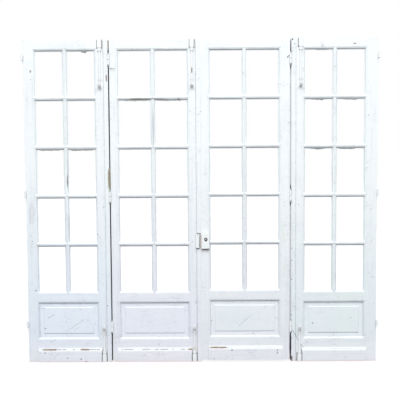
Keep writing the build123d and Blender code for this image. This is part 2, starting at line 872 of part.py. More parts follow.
def plinth_nodes():
    """Plinth boards, each stopped short of the bolt beside it."""
    laps = {
        left_outer: (left_outer_plinth_lap, bolt_side_lap(left_outer.right_stile, left_bolt_insets)),
        left_inner: (left_inner_plinth_lap, bolt_side_lap(left_inner.right_stile, left_bolt_insets)),
        right_inner: right_inner_plinth_laps,
        right_outer: (bolt_side_lap(right_outer.left_stile, right_bolt_insets), right_outer_plinth_lap),
    }
    return {f"{leaf.name}_plinth_board": plinth_board(leaf, *sides) for leaf, sides in laps.items()}


def strip_nodes():
    """Cover strips and stop strips."""
    return {
        "left_outer_cover_and_stop_strips": fold_strips(left_outer.right, -1),
        "left_inner_cover_strip": meeting_strip(left_inner),
        "right_outer_cover_and_stop_strips": fold_strips(right_outer.left, 1),
    }


def hinge_nodes():
    """Hinge halves, grouped by the edge that carries them."""
    return {
        "left_frame_hinge_sockets": hinge_sockets(left_frame_axis, 1),
        "left_fold_hinge_pins": hinge_lower_halves(left_fold_axis, -1),
        "left_fold_hinge_sockets": hinge_sockets(left_fold_axis, 1),
        "right_fold_hinge_pins": hinge_lower_halves(right_fold_axis, 1),
        "right_fold_hinge_sockets": hinge_sockets(right_fold_axis, -1),
        "right_frame_hinge_sockets": hinge_sockets(right_frame_axis, -1),
    }


def bolt_nodes():
    """Rods with their knobs, and the guides of each leaf."""
    nodes = {}
    for leaf, (top_x, bottom_x) in bolt_places.items():
        nodes[f"{leaf.name}_top_bolt"] = surface_bolt(top_x, leaf.top, leaf.top - top_knob_drop)
        nodes[f"{leaf.name}_bottom_bolt"] = surface_bolt(bottom_x, leaf.foot, leaf.foot + bottom_knob_rise)
        nodes[f"{leaf.name}_bolt_guides"] = bolt_guides(leaf, top_x, bottom_x)
    return nodes


def lock_nodes():
    """Rim lock and its keeper."""
    return {
        "lock_case": lock_case(),
        "lock_back_plate": lock_back_plate(),
        "lock_follower": lock_follower(),
        "lock_bolt": lock_bolt(),
        "lock_spring": lock_spring(),
        "lock_keeper": lock_keeper(),
    }


def all_nodes():
    """Every node by name."""
    nodes = {}
    for leaf in leaf_stiles:
        nodes |= leaf_nodes(leaf)
    return nodes | plinth_nodes() | strip_nodes() | hinge_nodes() | bolt_nodes() | lock_nodes()


os.makedirs("parts", exist_ok=True)
for name, shape in all_nodes().items():
    if isinstance(shape, list):
        shape = Compound(children=shape)
    export_step(shape, f"parts/{name}.step")
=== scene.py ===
"""Weathered French doors: looks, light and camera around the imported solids."""
import bmesh
import bpy
import math
from mathutils import Matrix, Vector, noise


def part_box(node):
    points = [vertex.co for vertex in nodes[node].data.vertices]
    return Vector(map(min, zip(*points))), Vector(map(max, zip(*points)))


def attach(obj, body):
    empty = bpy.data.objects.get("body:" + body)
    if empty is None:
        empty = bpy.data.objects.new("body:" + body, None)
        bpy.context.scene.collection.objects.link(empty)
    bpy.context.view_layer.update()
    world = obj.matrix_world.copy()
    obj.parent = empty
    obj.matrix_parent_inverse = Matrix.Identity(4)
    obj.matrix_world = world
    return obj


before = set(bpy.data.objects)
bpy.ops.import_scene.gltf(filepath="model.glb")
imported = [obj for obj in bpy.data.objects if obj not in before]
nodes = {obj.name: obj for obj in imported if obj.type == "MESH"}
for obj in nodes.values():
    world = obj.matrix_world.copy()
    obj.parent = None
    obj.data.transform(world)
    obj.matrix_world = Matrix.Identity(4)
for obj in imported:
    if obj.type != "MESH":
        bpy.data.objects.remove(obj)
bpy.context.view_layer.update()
scene = bpy.context.scene
scene.view_settings.view_transform = "Standard"

# Sizes repeated from the part's source, in metres
front = -0.0092
leaf_height = 2.25
first_bar = 0.816
bar_step = 0.339
bar_width = 0.037
bottom_row_extra = 0.010
glass_reach = 0.0065
glass_back = front + 0.023
rebate_width = 0.008
pane_rows = 5
left_fold = -0.632
right_fold = 0.622
short_leaf_foot = 0.012
plinth_height = 0.099
plinth_chamfer = 0.022
strip_width = 0.032
knob_heights = (1.935, 0.241)
lock_front = -0.0312

leaf_bodies = {
    "left_outer": "outer_leaves",
    "left_inner": "left_inner_leaf",
    "right_inner": "right_inner_leaf",
    "right_outer": "outer_leaves",
}


# Camera, fitted to the leaves' corners, sight edges and bars

photo_size = 400
focal_pixels = 718.2
camera_place = (0.045, -5.0, 1.462)
turn_degrees = 0.597
drop_degrees = 3.676
roll_degrees = -0.381
camera_data = bpy.data.cameras.new("camera")
camera_data.sensor_width = 36
camera_data.lens = focal_pixels / photo_size * camera_data.sensor_width
camera_data.clip_start = 0.05
camera_data.clip_end = 100
camera = bpy.data.objects.new("camera", camera_data)
scene.collection.objects.link(camera)
turn = Matrix.Rotation(math.radians(turn_degrees), 4, "Z")
pitch = Matrix.Rotation(math.radians(90 - drop_degrees), 4, "X")
roll = Matrix.Rotation(math.radians(roll_degrees), 4, "Z")
camera.matrix_world = Matrix.Translation(camera_place) @ turn @ pitch @ roll
scene.camera = camera


# Shader maths

class Value:
    """A shader socket that can be used in Python expressions."""

    def __init__(self, finish, socket):
        self.finish = finish
        self.socket = socket

    def maths(self, operation, first, second=0.0):
        return self.finish.node("ShaderNodeMath", {"operation": operation}, {0: first, 1: second})

    def __add__(self, other):
        return self.maths("ADD", self, other)

    def __sub__(self, other):
        return self.maths("SUBTRACT", self, other)

    def __mul__(self, other):
        return self.maths("MULTIPLY", self, other)

    def __rsub__(self, other):
        return self.maths("SUBTRACT", other, self)

    def __mod__(self, other):
        return self.maths("FLOORED_MODULO", self, other)

    def __gt__(self, other):
        return self.maths("GREATER_THAN", self, other)

    def __abs__(self):
        return self.maths("ABSOLUTE", self)

    def larger(self, other):
        return self.maths("MAXIMUM", self, other)

    def smaller(self, other):
        return self.maths("MINIMUM", self, other)

    __radd__ = __add__
    __rmul__ = __mul__


class Finish:
    """A material while its nodes are being joined up."""

    def __init__(self, name, world=None, output="ShaderNodeOutputMaterial"):
        self.material = world or bpy.data.materials.new(name)
        self.material.use_nodes = True
        self.tree = self.material.node_tree
        self.tree.nodes.clear()
        self.output = self.tree.nodes.new(output)
        self.place = self.node("ShaderNodeTexCoord", {}, {}, "Object")
        self.x, self.y, self.z = (
            self.node("ShaderNodeSeparateXYZ", {}, {0: self.place}, axis) for axis in "XYZ"
        )
        normal = self.node("ShaderNodeTexCoord", {}, {}, "Normal")
        self.facing_up = self.node("ShaderNodeSeparateXYZ", {}, {0: normal}, "Z")

    def node(self, kind, settings, sockets, out=0):
        """Adds a node, sets it up, joins its sockets, and gives back one of its outputs."""
        new = self.tree.nodes.new(kind)
        for name, value in settings.items():
            setattr(new, name, value)
        for name, value in sockets.items():
            if isinstance(value, Value):
                self.tree.links.new(value.socket, new.inputs[name])
            else:
                new.inputs[name].default_value = value
        return Value(self, new.outputs[out])

    def step(self, value, low, high):
        """0 below low, 1 above high, smooth between them."""
        settings = {"interpolation_type": "SMOOTHSTEP", "clamp": True}
        sockets = {0: value, 1: low, 2: high, 3: 0.0, 4: 1.0}
        return self.node("ShaderNodeMapRange", settings, sockets)

    def blend(self, factor, first, second):
        """Colour from first to second."""
        settings = {"data_type": "RGBA", "blend_type": "MIX", "clamp_factor": True}
        return self.node("ShaderNodeMix", settings, {0: factor, 6: first, 7: second}, 2)

    def darken(self, factor, colour, tint):
        """Colour multiplied by a tint."""
        settings = {"data_type": "RGBA", "blend_type": "MULTIPLY", "clamp_factor": True}
        return self.node("ShaderNodeMix", settings, {0: factor, 6: colour, 7: tint}, 2)

    def stretched(self, scales, rotation=(0.0, 0.0, 0.0)):
        """Place, turned and scaled along each axis, for a pattern that runs one way."""
        settings = {"vector_type": "POINT"}
        sockets = {"Vector": self.place, "Rotation": rotation, "Scale": scales}
        return self.node("ShaderNodeMapping", settings, sockets)

    def noise(self, place, scale=1.0, detail=4.0, rough=0.5):
        """Cloudy pattern, mostly from 0.3 to 0.7."""
        return self.node(
            "ShaderNodeTexNoise",
            {"noise_dimensions": "3D"},
            {"Vector": place, "Scale": scale, "Detail": detail, "Roughness": rough},
            "Fac",
        )

    def cells(self, place, feature="DISTANCE_TO_EDGE", scale=1.0, out="Distance"):
        """Distance to the edges or the middles of scattered cells."""
        return self.node(
            "ShaderNodeTexVoronoi",
            {"voronoi_dimensions": "3D", "feature": feature},
            {"Vector": place, "Scale": scale},
            out,
        )

    def hollow(self, distance, inside=False):
        """1 in the open and 0 in a corner; with inside, 1 in the body and 0 on an arris."""
        settings = {"inside": inside, "only_local": inside, "samples": 6}
        sockets = {"Distance": distance}
        return self.node("ShaderNodeAmbientOcclusion", settings, sockets, "AO")

    def bump(self, height, strength, distance):
        """Normal of a surface that stands out by a height."""
        sockets = {"Height": height, "Strength": strength, "Distance": distance}
        return self.node("ShaderNodeBump", {}, sockets, "Normal")

    def surface(self, **sockets):
        """Ends the material in a Principled shader."""
        sockets = {name.replace("_", " "): value for name, value in sockets.items()}
        return self.finish(self.node("ShaderNodeBsdfPrincipled", {}, sockets))

    def finish(self, shader):
        """Ends the material, or the world, in a shader."""
        self.tree.links.new(shader.socket, self.output.inputs["Surface"])
        return self.material


# Finishes of the doors

paint_white = (0.94, 0.965, 0.955, 1)
bolt_white = (0.94, 0.95, 0.95, 1)
panel_white = (0.955, 0.985, 0.985, 1)
painted_ledge_highlight = (0.985, 0.99, 0.99, 1)
paint_grey = (0.84, 0.86, 0.88, 1)
paint_warm = (0.93, 0.90, 0.86, 1)
foot_lilac = (0.950, 0.920, 0.950, 1)
putty_grey = (0.80, 0.79, 0.76, 1)
painted_shade_putty_black = (0.13, 0.12, 0.12, 1)
edge_olive = (0.42, 0.34, 0.20, 1)
bare_wood = (0.40, 0.30, 0.21, 1)
raw_timber = (0.46, 0.30, 0.13, 1)
worn_pink = (0.86, 0.62, 0.57, 1)
rust = (0.30, 0.12, 0.06, 1)
rust_dark = (0.07, 0.06, 0.055, 1)
rust_halo = (0.72, 0.60, 0.50, 1)
nail_rust = (0.42, 0.36, 0.22, 1)
iron_dark = (0.035, 0.033, 0.032, 1)
painted_gap_shade_and_crack_brown = (0.16, 0.12, 0.09, 1)
painted_gap_shade_lilac = (0.46, 0.43, 0.50, 1)
rusty_painted_gap_shade = (0.50, 0.33, 0.24, 1)

# Colours that a finish is darkened by
grime_and_painted_shade = (0.42, 0.41, 0.41, 1)
painted_cheek_shade = (0.86, 0.89, 0.91, 1)
painted_underside_shade = (0.45, 0.45, 0.47, 1)
painted_iron_underside_shade = (0.22, 0.17, 0.14, 1)
mottle_shade = (0.93, 0.91, 0.95, 1)
fibre_shade = (0.89, 0.91, 0.93, 1)
smear_shade = (0.74, 0.74, 0.77, 1)
dot_shade = (0.42, 0.41, 0.42, 1)
scratch_shade = (0.62, 0.63, 0.66, 1)
guide_dirt_and_painted_shadow = (0.22, 0.20, 0.20, 1)
knob_shade = (0.58, 0.54, 0.53, 1)

# Colours of single marks
grey_dirt = (0.62, 0.63, 0.65, 1)
brown_chip_and_painted_shadow = (0.24, 0.17, 0.12, 1)
streak_grey = (0.40, 0.40, 0.42, 1)
lilac_dirt = (0.69, 0.67, 0.72, 1)
pale_cyan = (0.80, 0.89, 0.88, 1)
pale_green = (0.82, 0.89, 0.83, 1)
olive_chip = (0.30, 0.26, 0.17, 1)
dark_dirt_and_painted_shadow = (0.10, 0.09, 0.09, 1)
green_stain = (0.80, 0.87, 0.80, 1)
rusty_yellow = (0.72, 0.62, 0.34, 1)

# Colour near the foot, darker than above, of the left outer leaf, then of each leaf to the right of
# a joint
first_foot_tint = (0.885, 0.912, 0.985, 1)
foot_tints = (
    (left_fold, (0.920, 0.890, 0.960, 1)),
    (0.0, (0.925, 0.910, 0.942, 1)),
    (right_fold, (0.890, 0.918, 0.930, 1)),
)


def grain_scales(across, along, direction):
    """Scale of a pattern that runs upwards or from left to right."""
    if direction == "up":
        return (across, across, along)
    return (along, across, across)


def bar_pattern(f, across, along):
    """Grain that runs along the level bars and up the short ones."""
    over_bar = (f.z - first_bar + 0.02) % bar_step
    is_level = f.step(over_bar, bar_width + 0.021, bar_width + 0.0205)
    upward = f.stretched(grain_scales(across, along, "up"))
    sideways = f.stretched(grain_scales(across, along, "level"))
    settings = {"data_type": "VECTOR"}
    return f.node("ShaderNodeMix", settings, {0: is_level, 4: upward, 5: sideways}, 1)


def on_front(f):
    """1 on what shows from the front, 0 on the back."""
    return f.step(f.y, 0.008, 0.004)


def shaded_moulding(f, colour):
    """Colour with painted shade, a little darker on the upright cheeks of the mouldings."""
    recess = f.step(f.y, front + 0.002, front + 0.008) * f.step(f.y, front + 0.034, front + 0.030)
    before_glass = f.step(f.y, front + 0.0135, front + 0.0125)
    cheek = recess * before_glass * f.step(f.facing_up, 0.5, 0.15)
    return f.darken(cheek, colour, painted_cheek_shade)


def weathered_and_shaded(f, colour, dirt_and_painted_shade):
    """Soiling and painted shade in corners and gaps, painted shade under ledges, and wear at the
    foot, over a paint colour.
    """
    crevice = 1 - f.hollow(0.009)
    gap = 1 - f.hollow(0.05)
    down = f.step(f.facing_up, -0.1, -0.7)
    patch = f.noise(f.place, 26.0, 5.0, 0.7)
    # Painted shade, with some soiling, in corners and creases, and painted shade on faces turned
    # downwards
    colour = f.darken(f.step(crevice, 0.3, 0.75) * dirt_and_painted_shade, colour, grime_and_painted_shade)
    colour = f.darken(down * dirt_and_painted_shade, colour, painted_underside_shade)
    # Painted shade, with some soiling, deep in the joints between the leaves: near black, paler and
    # lilac on the right above the lowest 0.4 m, rust-brown at the head on the left
    in_gap = f.step(gap + patch * 0.2, 0.83, 0.98)
    right_side = f.step(f.x, 0.3, 0.4)
    pale_gap = right_side * f.step(f.z, 0.30, 0.42)
    gap_shade_colour = f.blend(pale_gap, painted_gap_shade_and_crack_brown, painted_gap_shade_lilac)
    gap_shade_colour = f.blend(f.step(f.z, 2.15, 2.19) * (1 - right_side), gap_shade_colour, rusty_painted_gap_shade)
    colour = f.blend(in_gap * (0.92 - pale_gap * 0.35), colour, gap_shade_colour)
    foot = f.step(f.z + patch * 0.01, 0.016, 0.004)
    return f.blend(foot * 0.75, colour, worn_pink)


def foot_tint(f):
    """Colour near the foot, darker than above, which differs a little from leaf to leaf."""
    colour = first_foot_tint
    for joint, tint in foot_tints:
        colour = f.blend(f.x > joint, colour, tint)
    return colour


def round_boxes(f, boxes):
    """1 in a narrow ragged line round each box on the front, given as centre and half size."""
    nearest = None
    for x, z, half_width, half_height in boxes:
        out = (abs(f.x - x) - half_width).larger(abs(f.z - z) - half_height)
        nearest = out if nearest is None else nearest.smaller(out)
    ragged = f.noise(f.place, 70.0, 4.0, 0.65)
    return f.step(nearest + ragged * 0.006, 0.0100, 0.0065) * on_front(f)


def spot(f, x, z, half_width, half_height):
    """1 on a ragged spot of the front, 0 round it; large spots have soft edges."""
    across = (f.x - x) * (1 / half_width)
    along = (f.z - z) * (1 / half_height)
    fineness = min(120.0, max(14.0, 0.5 / half_width))
    ragged = (f.noise(f.place, fineness, 5.0, 0.68) - 0.5) * 2.6
    soft = 0.25 if half_width < 0.012 else 0.7
    shape = f.step(across * across + along * along + ragged, 0.85 + soft, 0.85 - soft)
    return shape * on_front(f)


def with_marks(f, colour, marks):
    """Colour with each mark laid over it."""
    for *place, strength, stain in marks:
        colour = f.blend(spot(f, *place) * strength, colour, stain)
    return colour


def drawn_line(f, x, z, end_x, end_z, width):
    """1 along a thin straight line on the front, with breaks in it."""
    right, up = end_x - x, end_z - z
    length = math.hypot(right, up)
    along = ((f.x - x) * right + (f.z - z) * up) * (1 / length ** 2)
    aside = abs((f.x - x) * up - (f.z - z) * right) * (1 / length)
    broken = f.step(f.noise(f.place, 55.0, 3.0, 0.6), 0.38, 0.5)
    line = f.step(aside, width, width * 0.4) * f.step(abs(along - 0.5), 0.52, 0.48)
    return line * (broken * 0.6 + 0.4) * on_front(f)


def scratches(f):
    """Thin slanting lines, in places only."""
    slanted = f.stretched((2.2, 5.0, 42.0), (0, math.radians(33), 0))
    line = f.step(f.cells(slanted), 0.022, 0.006)
    return line * f.step(f.noise(f.place, 7.0, 3.0, 0.6), 0.56, 0.66)


def with_flakes(f, colour, runs, mottle, smears, specks):
    """Colour with the chamfer's paint off: down to the timber in the runs, and split elsewhere."""
    foot = short_leaf_foot * f.step(f.x, 0.0, 0.001) * f.step(f.x, right_fold, right_fold - 0.002)
    middle = plinth_height - plinth_chamfer / 2
    line = abs(f.z - foot - middle + (mottle - 0.5) * 0.005)
    wide = None
    for left, right in runs:
        inside = f.step(f.x, left - 0.01, left + 0.004) * f.step(f.x, right + 0.01, right - 0.004)
        wide = inside if wide is None else wide.larger(inside)
    opened = f.step(line - (smears - 0.5) * 0.010, 0.0070, 0.0045) * wide
    timber = f.blend(f.step(specks, 0.45, 0.6), raw_timber, painted_gap_shade_and_crack_brown)
    colour = f.blend(opened * 0.85, colour, timber)
    opening = f.noise(f.stretched((9, 0.5, 0.5)), 1.0, 5.0, 0.7)
    split = f.step(line, 0.0030, 0.0015) * f.step(opening, 0.46, 0.52)
    return f.blend(split * (0.8 - 0.65 * f.step(f.x, 0.16, 0.20)), colour, painted_gap_shade_and_crack_brown)


def old_paint(name, direction, tint=paint_white, dirt_and_painted_shade=0.7, wear=0.5, moulded=True, marks=(),
              scratched=0.0, flaked=(), outlined=(), lines=()):
    """White paint on timber: grain, chips to the wood, marks, a painted highlight on ledges, and
    soiling and painted shade in the corners and under ledges.
    """
    f = Finish(name)
    if direction == "bars":
        grain = bar_pattern(f, 70, 3)
        cracking = bar_pattern(f, 40, 2.5)
    else:
        grain = f.stretched(grain_scales(70, 3, direction))
        cracking = f.stretched(grain_scales(40, 2.5, direction))
    fibres = f.noise(grain, 1.0, 6.0, 0.6)
    clouds = f.noise(f.place, 4.0, 5.0, 0.6)
    mottle = f.noise(f.place, 45.0, 6.0, 0.7)
    smears = f.noise(f.place, 80.0, 5.0, 0.75)
    specks = f.noise(f.place, 190.0, 4.0, 0.6)
    worn = f.noise(f.place, 9.0, 5.0, 0.65)
    arris = 1 - f.hollow(0.004, True)
    low = f.step(f.z, 1.6, 0.0)

    # Tints of the paint, darker towards the foot, and a painted highlight on ledges
    colour = f.darken(low, tint, foot_tint(f))
    colour = f.blend(f.step(f.z, 0.20, 0.05) * 0.6, colour, foot_lilac)
    colour = f.blend(f.step(clouds, 0.45, 0.65) * 0.3, colour, paint_grey)
    colour = f.darken(f.step(mottle, 0.48, 0.7) * 0.55, colour, mottle_shade)
    if moulded:
        colour = f.darken(f.step(fibres, 0.45, 0.7) * 0.6, colour, fibre_shade)
    smeared = f.step(smears, 0.5, 0.68) * f.step(worn, 0.48, 0.66)
    colour = f.darken(smeared, colour, smear_shade)
    dots = f.step(f.cells(f.place, "F1", 26.0), 0.13, 0.09) * f.step(worn, 0.5, 0.58)
    colour = f.darken(dots * 0.7, colour, dot_shade)
    # Painted highlight on faces turned upwards
    colour = f.blend(f.step(f.facing_up, 0.12, 0.4) * 0.8, colour, painted_ledge_highlight)

    # Cracks, scratches and chips
    crack = f.step(f.cells(cracking), 0.018, 0.004) * f.step(worn + low * 0.03, 0.6, 0.68)
    colour = f.blend(crack * 0.3, colour, bare_wood)
    if scratched:
        colour = f.darken(scratches(f) * scratched, colour, scratch_shade)
    chipping = specks * 0.55 + mottle * 0.5 + arris * 0.16 + worn * 0.25 + low * 0.015
    onset = 1.01 - 0.2 * wear
    chip = f.step(chipping, onset, onset + 0.015)
    stain = f.step(chipping, onset - 0.08, onset)
    colour = f.blend(stain * 0.3, colour, paint_warm)
    colour = f.blend(chip * 0.8, colour, bare_wood)
    if flaked:
        colour = with_flakes(f, colour, flaked, mottle, smears, specks)

    # Marks in their own places
    colour = with_marks(f, colour, marks)
    # Scratches and cracks, and the soiling and painted shade beside the cover strips
    for *line, strength in lines:
        colour = f.darken(drawn_line(f, *line) * strength, colour, grime_and_painted_shade)
    # Dirt and painted shadow in a ragged line round each bolt guide
    if outlined:
        colour = f.darken(round_boxes(f, outlined) * 0.9, colour, guide_dirt_and_painted_shadow)
    if moulded:
        colour = shaded_moulding(f, colour)
    colour = weathered_and_shaded(f, colour, dirt_and_painted_shade)

    fine_grain = f.noise(grain, 3.0, 3.0, 0.5)
    relief = fibres * 0.3 + fine_grain * 0.2 + worn * 0.5 - chip * 0.6 - crack * 0.4
    return f.surface(
        Base_Color=colour,
        Roughness=0.42 + fibres * 0.2 + chip * 0.3,
        Normal=f.bump(relief, 0.6, 0.0012),
    )


def painted_metal(name, rusting, tint=paint_white, shade=0.85, marks=(), knobs=False):
    """White paint over iron, chipped to dark rust on arrises and in spots, with painted shade
    underneath.
    """
    f = Finish(name)
    spots = f.noise(f.place, 160.0, 6.0, 0.7)
    cloud = f.noise(f.place, 22.0, 4.0, 0.6)
    arris = 1 - f.hollow(0.003, True)
    wear = spots + arris * 0.25 + cloud * 0.3
    onset = 1.12 - rusting * 0.3
    chip = f.step(wear, onset - 0.04, onset)
    stain = f.step(wear, onset - 0.20, onset)
    colour = f.blend(stain * 0.35, tint, rust_halo)
    colour = f.blend(chip, colour, f.blend(spots, rust, rust_dark))
    # Painted shade on faces turned downwards
    underside = f.step(f.facing_up, -0.15, -0.7)
    colour = f.darken(underside * shade, colour, painted_iron_underside_shade)
    colour = with_marks(f, colour, marks)
    if knobs:
        upper, lower = knob_heights
        near_knob = f.step(abs(f.z - upper).smaller(abs(f.z - lower)), 0.016, 0.012)
        proud = f.step(f.y, front - 0.010, front - 0.014)
        colour = f.darken(near_knob * proud * f.step(spots, 0.3, 0.6), colour, knob_shade)
    colour = weathered_and_shaded(f, shaded_moulding(f, colour), shade)
    relief = spots * 0.3 + cloud * 0.4 - chip * 0.8
    return f.surface(
        Base_Color=colour,
        Roughness=0.38 + chip * 0.4 + spots * 0.1,
        Normal=f.bump(relief, 0.5, 0.0008),
    )


def old_iron(name):
    """Bare dark iron with rust bloom."""
    f = Finish(name)
    spots = f.noise(f.place, 220.0, 6.0, 0.7)
    cloud = f.noise(f.place, 40.0, 4.0, 0.6)
    bloom = f.step(spots + cloud * 0.5, 0.80, 1.0)
    return f.surface(
        Base_Color=f.blend(bloom * 0.7, iron_dark, rust),
        Roughness=0.42 + bloom * 0.4,
        Metallic=0.75 - bloom * 0.6,
        Normal=f.bump(spots, 0.5, 0.0004),
    )


def window_glass(name):
    """Old clear glass, a little wavy, with dust."""
    f = Finish(name)
    waves = f.noise(f.place, 9.0, 2.0, 0.4)
    dust = f.noise(f.place, 60.0, 5.0, 0.7)
    return f.surface(
        Base_Color=(1.0, 1.0, 1.0, 1),
        Roughness=f.step(dust, 0.6, 0.95) * 0.04,
        Normal=f.bump(waves, 0.04, 0.002),
        IOR=1.45,
        Transmission_Weight=1.0,
    )


# Marks on the front: place in X and Z, half width, half height, strength and colour
stile_marks = (
    (-1.172, 2.038, 0.006, 0.012, 0.8, brown_chip_and_painted_shadow),
    (-0.647, 1.988, 0.005, 0.028, 0.95, brown_chip_and_painted_shadow),
    (-1.2235, 2.136, 0.004, 0.010, 0.7, brown_chip_and_painted_shadow),
    (-1.184, 1.060, 0.022, 0.085, 0.5, lilac_dirt),
    (-1.196, 1.020, 0.008, 0.050, 0.5, lilac_dirt),
    (-1.1667, 0.510, 0.0045, 0.006, 0.9, dark_dirt_and_painted_shadow),
    (-0.6617, 0.402, 0.005, 0.005, 0.7, dark_dirt_and_painted_shadow),
    (-0.640, 1.290, 0.006, 0.075, 0.9, olive_chip),
    (-0.700, 2.236, 0.030, 0.004, 0.5, dark_dirt_and_painted_shadow),
    (0.571, 0.963, 0.012, 0.020, 0.6, green_stain),
    (0.571, 0.900, 0.016, 0.090, 0.5, green_stain),
    (0.576, 0.788, 0.005, 0.006, 0.5, green_stain),
    (0.566, 0.583, 0.005, 0.007, 0.5, green_stain),
    (0.590, 0.735, 0.004, 0.007, 0.5, green_stain),
    (0.562, 0.702, 0.004, 0.005, 0.5, green_stain),
    (0.580, 0.660, 0.012, 0.060, 0.5, green_stain),
    (0.6025, 2.122, 0.006, 0.006, 0.9, dark_dirt_and_painted_shadow),
    (0.610, 2.132, 0.008, 0.005, 0.7, dark_dirt_and_painted_shadow),
    (0.6345, 2.241, 0.006, 0.007, 0.95, dark_dirt_and_painted_shadow),
    (0.648, 2.210, 0.004, 0.004, 0.9, dark_dirt_and_painted_shadow),
    (0.6306, 0.8015, 0.0035, 0.0035, 0.9, dark_dirt_and_painted_shadow),
    (0.6307, 0.717, 0.0035, 0.0035, 0.9, dark_dirt_and_painted_shadow),
    (0.6309, 0.583, 0.0035, 0.0035, 0.9, dark_dirt_and_painted_shadow),
    (0.6306, 0.331, 0.0035, 0.0035, 0.9, dark_dirt_and_painted_shadow),
    (0.6295, 0.171, 0.0035, 0.0035, 0.9, dark_dirt_and_painted_shadow),
    (0.624, 1.190, 0.008, 0.028, 0.9, dark_dirt_and_painted_shadow),
    (0.630, 0.020, 0.008, 0.022, 0.9, dark_dirt_and_painted_shadow),
    (0.622, 0.230, 0.010, 0.010, 0.9, dark_dirt_and_painted_shadow),
    (0.622, 0.125, 0.0075, 0.110, 0.9, dark_dirt_and_painted_shadow),
    # Painted shadow under the lock case and under the keeper
    (0.028, 0.7965, 0.030, 0.0055, 0.95, brown_chip_and_painted_shadow),
    (-0.027, 0.801, 0.012, 0.0045, 0.9, dark_dirt_and_painted_shadow),
    (-0.0514, 0.004, 0.026, 0.004, 0.9, brown_chip_and_painted_shadow),
)
rail_marks = (
    (1.061, 2.2105, 0.012, 0.004, 0.8, brown_chip_and_painted_shadow),
    (-0.440, 0.500, 0.020, 0.004, 0.4, grey_dirt),
    (1.020, 0.460, 0.110, 0.030, 0.4, pale_green),
)
bar_marks = (
    (-0.928, 1.330, 0.0045, 0.130, 0.7, grey_dirt),
    (-0.930, 1.275, 0.0035, 0.045, 0.85, dark_dirt_and_painted_shadow),
    (-0.927, 0.960, 0.006, 0.100, 0.5, lilac_dirt),
    (-0.328, 1.645, 0.0035, 0.150, 0.75, streak_grey),
    (-0.420, 1.843, 0.085, 0.0045, 0.85, brown_chip_and_painted_shadow),
    (-0.290, 1.843, 0.060, 0.0035, 0.8, brown_chip_and_painted_shadow),
    (-0.150, 1.842, 0.012, 0.004, 0.8, dark_dirt_and_painted_shadow),
)
panel_marks = (
    (0.235, 0.300, 0.160, 0.140, 0.35, pale_cyan),
    (1.010, 0.290, 0.120, 0.140, 0.35, pale_green),
    (0.779, 0.267, 0.006, 0.005, 0.7, dark_dirt_and_painted_shadow),
    (-1.107, 0.236, 0.005, 0.005, 0.7, dark_dirt_and_painted_shadow),
)
# From left to right along the plinth tops where the paint has come off
flaked_tops = ((-1.116, -1.031), (-0.855, -0.798), (0.060, 0.168), (-0.094, -0.068))
plinth_marks = (
    (-1.174, 0.025, 0.006, 0.006, 0.8, dark_dirt_and_painted_shadow),
    (-1.1075, 0.065, 0.005, 0.005, 0.7, dark_dirt_and_painted_shadow),
    (-0.853, 0.021, 0.007, 0.005, 0.8, dark_dirt_and_painted_shadow),
    (-0.818, 0.004, 0.010, 0.005, 0.95, dark_dirt_and_painted_shadow),
    (-0.9475, 0.028, 0.008, 0.006, 0.45, dark_dirt_and_painted_shadow),
    (0.212, 0.081, 0.006, 0.006, 0.8, dark_dirt_and_painted_shadow),
    (0.531, 0.081, 0.0045, 0.0045, 0.95, dark_dirt_and_painted_shadow),
    (0.531, 0.062, 0.0045, 0.0045, 0.95, dark_dirt_and_painted_shadow),
    (0.06, 0.055, 0.008, 0.02, 0.5, green_stain),
)
rod_marks = (
    (-0.0574, 2.037, 0.004, 0.024, 1.0, brown_chip_and_painted_shadow),
    (-0.0514, 0.095, 0.006, 0.012, 0.6, rusty_yellow),
)
lock_marks = (
    # Painted shade in and round the spindle hole of the lock case
    (0.0324, 0.8675, 0.012, 0.013, 0.9, dark_dirt_and_painted_shadow),
    (0.004, 0.855, 0.004, 0.050, 0.5, worn_pink),
)

# Lines on the front: both ends in X and Z, width and strength
thin_crack = (
    (0.627, 0.235, 0.661, 0.181, 0.0035, 0.85),
    (0.661, 0.181, 0.684, 0.135, 0.0035, 0.85),
    (0.684, 0.135, 0.712, 0.098, 0.0035, 0.85),
    (0.712, 0.098, 0.757, 0.086, 0.0030, 0.80),
)
panel_scratches = (
    (-1.087, 0.311, -1.037, 0.337, 0.003, 0.6),
    (-0.933, 0.229, -0.830, 0.300, 0.003, 0.6),
    (-0.900, 0.222, -0.868, 0.244, 0.003, 0.5),
    (0.262, 0.248, 0.347, 0.326, 0.003, 0.5),
)
rail_scratches = ((-1.070, 0.138, -1.034, 0.156, 0.003, 0.7),)

# Dirt and painted shade beside each cover strip, from foot to head
strip_lines = tuple((x, 0.0, x, leaf_height, 0.004, 0.4) for x in (-0.6684, -0.0324, 0.6584))

# Bolt guides on the front: centre in X and Z, half width and half height
top_guides = [(x, 2.222, 0.015, 0.028) for x in (-0.6934, -0.0574, 0.6914)]
bottom_guides = [(x, 0.028, 0.015, 0.028) for x in (-0.6874, -0.0514, 0.6864)]
bolt_guides = top_guides + bottom_guides

